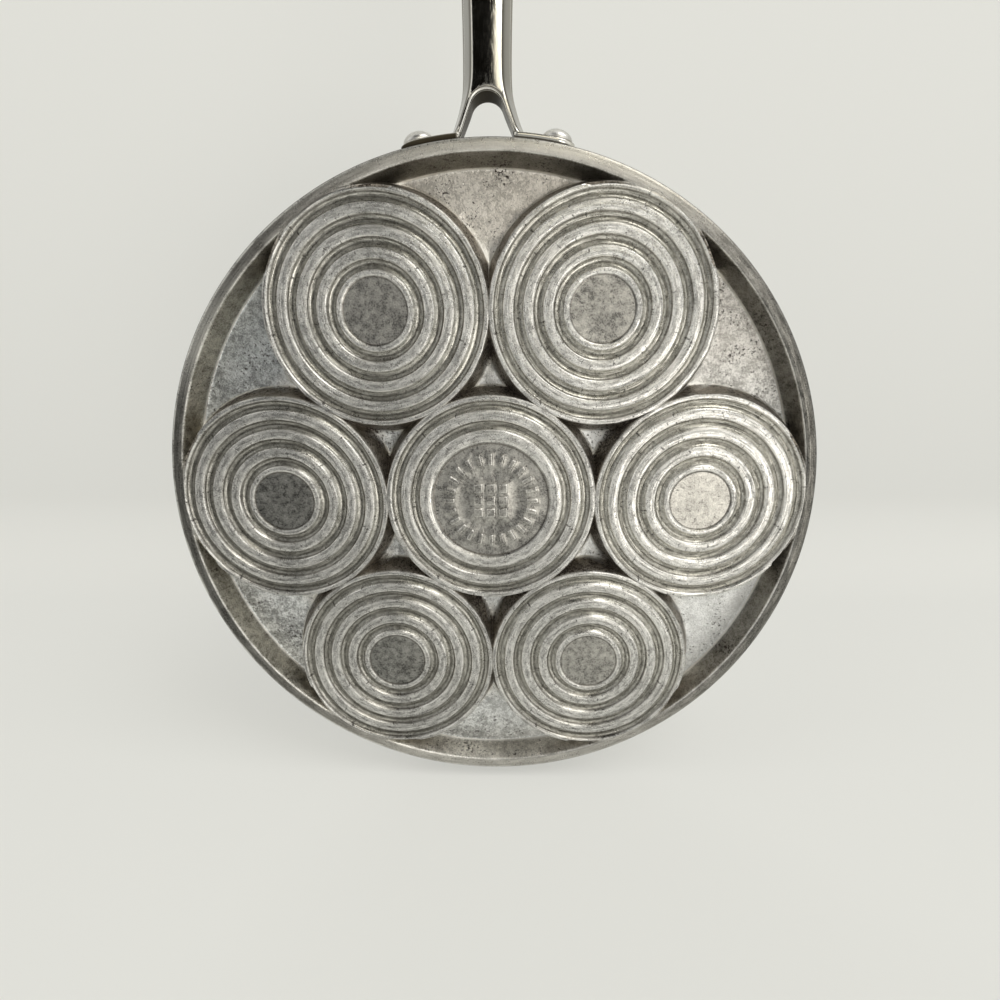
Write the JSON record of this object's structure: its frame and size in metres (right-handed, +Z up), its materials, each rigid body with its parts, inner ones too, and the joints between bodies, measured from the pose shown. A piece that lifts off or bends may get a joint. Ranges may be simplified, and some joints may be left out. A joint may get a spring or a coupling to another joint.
{
  "type": "stovetop waffle pan",
  "caption": "Round cast stovetop pan with small round waffle wells, concentric grooves under each pad, and a riveted hollow steel handle.",
  "frame": {"origin": "middle of the pan on the plane that its foot ring and pads stand on", "axes": "+Z up to the cooking side, +Y along the handle, away from the pan"},
  "size_m": [0.2718, 0.4689, 0.0489],
  "materials": {
    "cast_aluminium": "bare casting, worn and stained",
    "handle_steel": "polished stainless steel",
    "rivet_aluminium": "semi-matt"
  },
  "bodies": {
    "root": {"pan_body": "cast_aluminium", "handle_channel": "handle_steel", "handle_cover": "handle_steel", "rivet_left": "rivet_aluminium", "rivet_right": "rivet_aluminium"}
  },
  "joints": []
}
